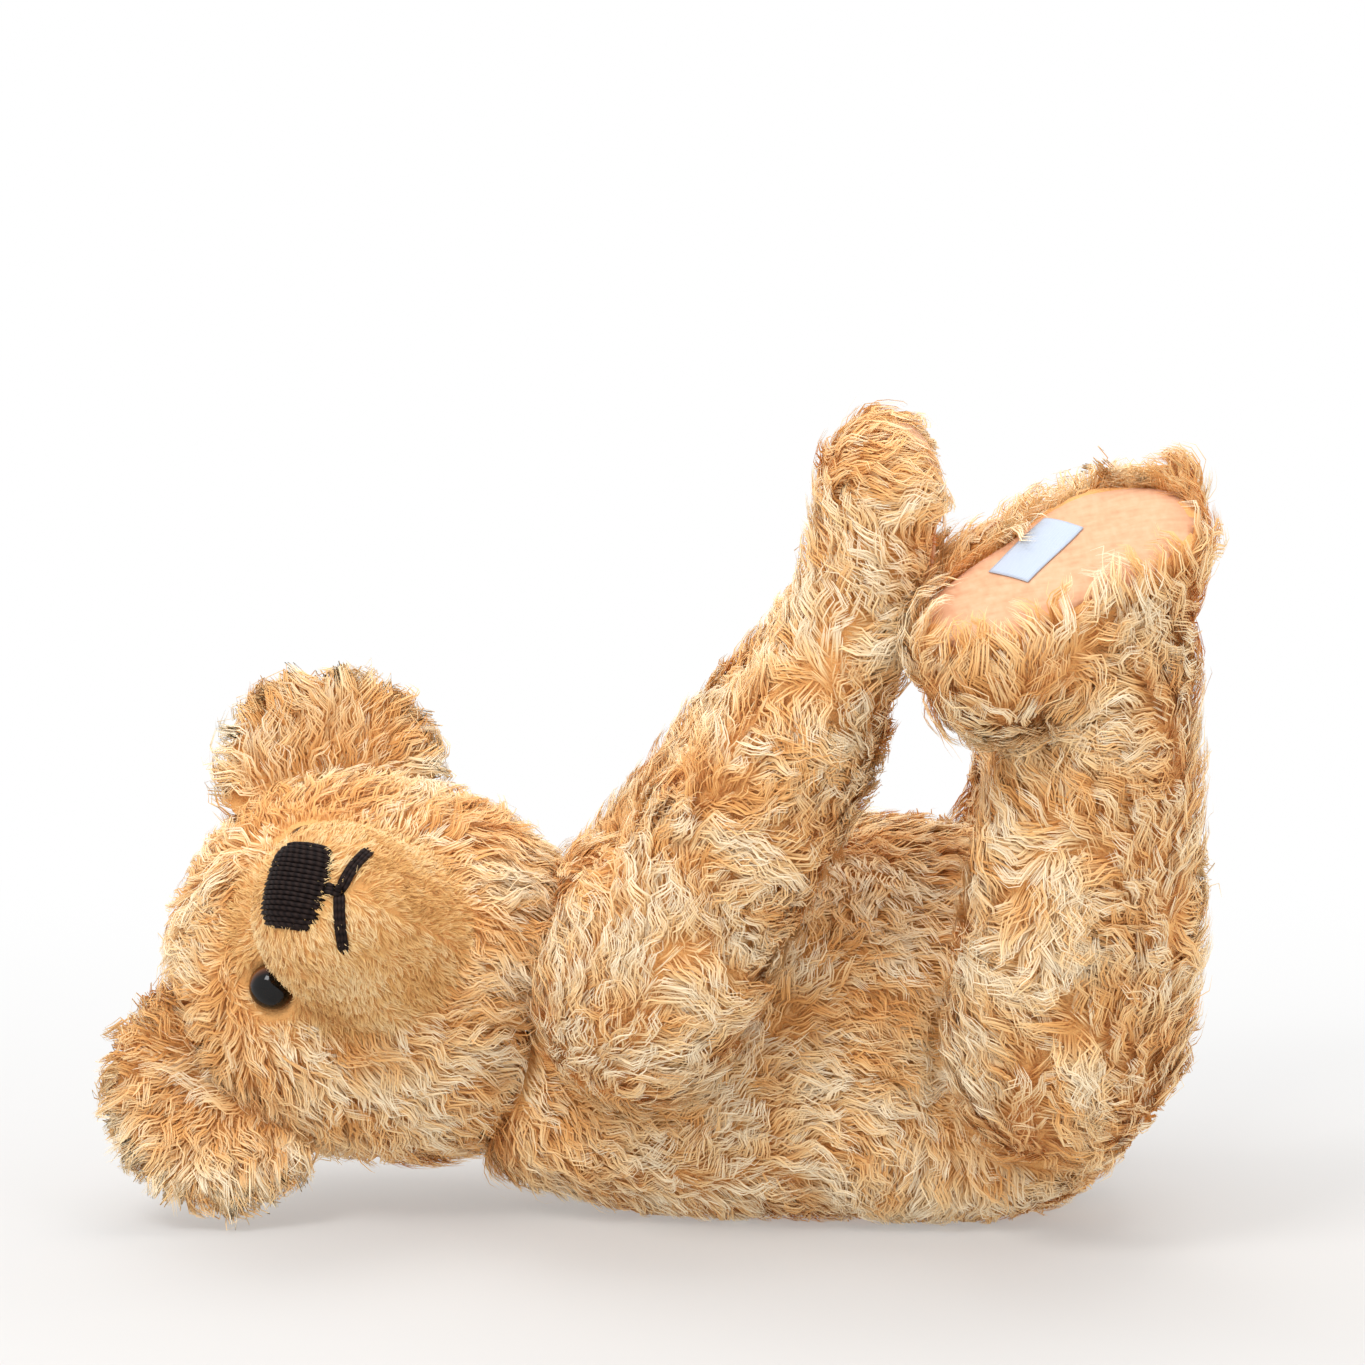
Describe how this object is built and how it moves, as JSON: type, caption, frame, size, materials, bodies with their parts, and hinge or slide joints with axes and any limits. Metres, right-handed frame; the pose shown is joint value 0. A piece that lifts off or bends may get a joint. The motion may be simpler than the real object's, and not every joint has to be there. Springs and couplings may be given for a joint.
{
  "type": "jointed teddy bear",
  "caption": "Plush bear in curly golden mohair with felt pads, glass eyes and a stitched nose; head, arms and legs turn on disc joints.",
  "frame": {"origin": "middle of the flattened patch of the back that the bear lies on", "axes": "+X towards the feet, +Z out of the belly (up, as it lies on its back), -Y the bear's right side"},
  "size_m": [0.311, 0.218, 0.2246],
  "materials": {
    "mohair": "curly distressed mohair pile, cream tips over a golden-brown base",
    "muzzle_plush": "short dense golden plush",
    "felt": "matt peach wool felt",
    "stuffing": "firm off-white filling",
    "hardboard": "brown pressed hardboard",
    "card": "grey-brown card",
    "zinc_steel": "zinc plated",
    "nut_steel": "zinc plated lock nut",
    "eye_glass": "black pupil under glossy dark amber glass",
    "nose_thread": "dark brown embroidery cotton in satin stitch",
    "label": "blank pale woven ribbon"
  },
  "bodies": {
    "torso": {"hip_torso_discs": "hardboard", "joint_bolts": "zinc_steel", "joint_lock_nuts": "nut_steel", "joint_torso_washers": "zinc_steel", "neck_torso_disc": "hardboard", "shoulder_torso_discs": "hardboard", "torso_back_left": "mohair", "torso_back_right": "mohair", "torso_front_left": "mohair", "torso_front_right": "mohair", "torso_stuffing": "stuffing"},
    "head": {"ear_left_back": "mohair", "ear_left_front": "mohair", "ear_right_back": "mohair", "ear_right_front": "mohair", "eye_left": "eye_glass", "eye_right": "eye_glass", "eye_wire_loops": "zinc_steel", "head_gusset": "mohair", "head_side_left": "mohair", "head_side_right": "mohair", "head_stuffing": "stuffing", "mouth_stitching": "nose_thread", "muzzle_left": "muzzle_plush", "muzzle_right": "muzzle_plush", "neck_head_disc": "hardboard", "neck_head_washer": "zinc_steel", "nose_stitching": "nose_thread"},
    "right_arm": {"right_arm_disc": "hardboard", "right_arm_inner": "mohair", "right_arm_outer": "mohair", "right_arm_stuffing": "stuffing", "right_arm_washer": "zinc_steel", "right_paw_pad": "felt"},
    "left_arm": {"left_arm_disc": "hardboard", "left_arm_inner": "mohair", "left_arm_outer": "mohair", "left_arm_stuffing": "stuffing", "left_arm_washer": "zinc_steel", "left_paw_pad": "felt"},
    "right_leg": {"foot_label": "label", "right_foot_pad": "felt", "right_insole_card": "card", "right_leg_disc": "hardboard", "right_leg_inner": "mohair", "right_leg_outer": "mohair", "right_leg_stuffing": "stuffing", "right_leg_washer": "zinc_steel"},
    "left_leg": {"left_foot_pad": "felt", "left_insole_card": "card", "left_leg_disc": "hardboard", "left_leg_inner": "mohair", "left_leg_outer": "mohair", "left_leg_stuffing": "stuffing", "left_leg_washer": "zinc_steel"}
  },
  "joints": [
    {"name": "neck_turn", "type": "hinge", "parent": "torso", "child": "head", "pos_m": [-0.07012, 0, 0.057], "axis": [-0.9703, 0, 0.2419], "continuous": true},
    {"name": "right_shoulder_turn", "type": "hinge", "parent": "torso", "child": "right_arm", "pos_m": [-0.0361, -0.038, 0.062], "axis": [-0.1736, -0.9848, 0], "range_deg": [0, 50]},
    {"name": "left_shoulder_turn", "type": "hinge", "parent": "torso", "child": "left_arm", "pos_m": [-0.0361, 0.038, 0.062], "axis": [0.1736, -0.9848, 0], "range_deg": [0, 55]},
    {"name": "right_hip_turn", "type": "hinge", "parent": "torso", "child": "right_leg", "pos_m": [0.07343, -0.04201, 0.051], "axis": [0.1386, -0.9865, -0.0868], "range_deg": [-89, 0]},
    {"name": "left_hip_turn", "type": "hinge", "parent": "torso", "child": "left_leg", "pos_m": [0.07343, 0.04201, 0.051], "axis": [-0.1386, -0.9865, 0.0868], "range_deg": [-84, 0]}
  ]
}
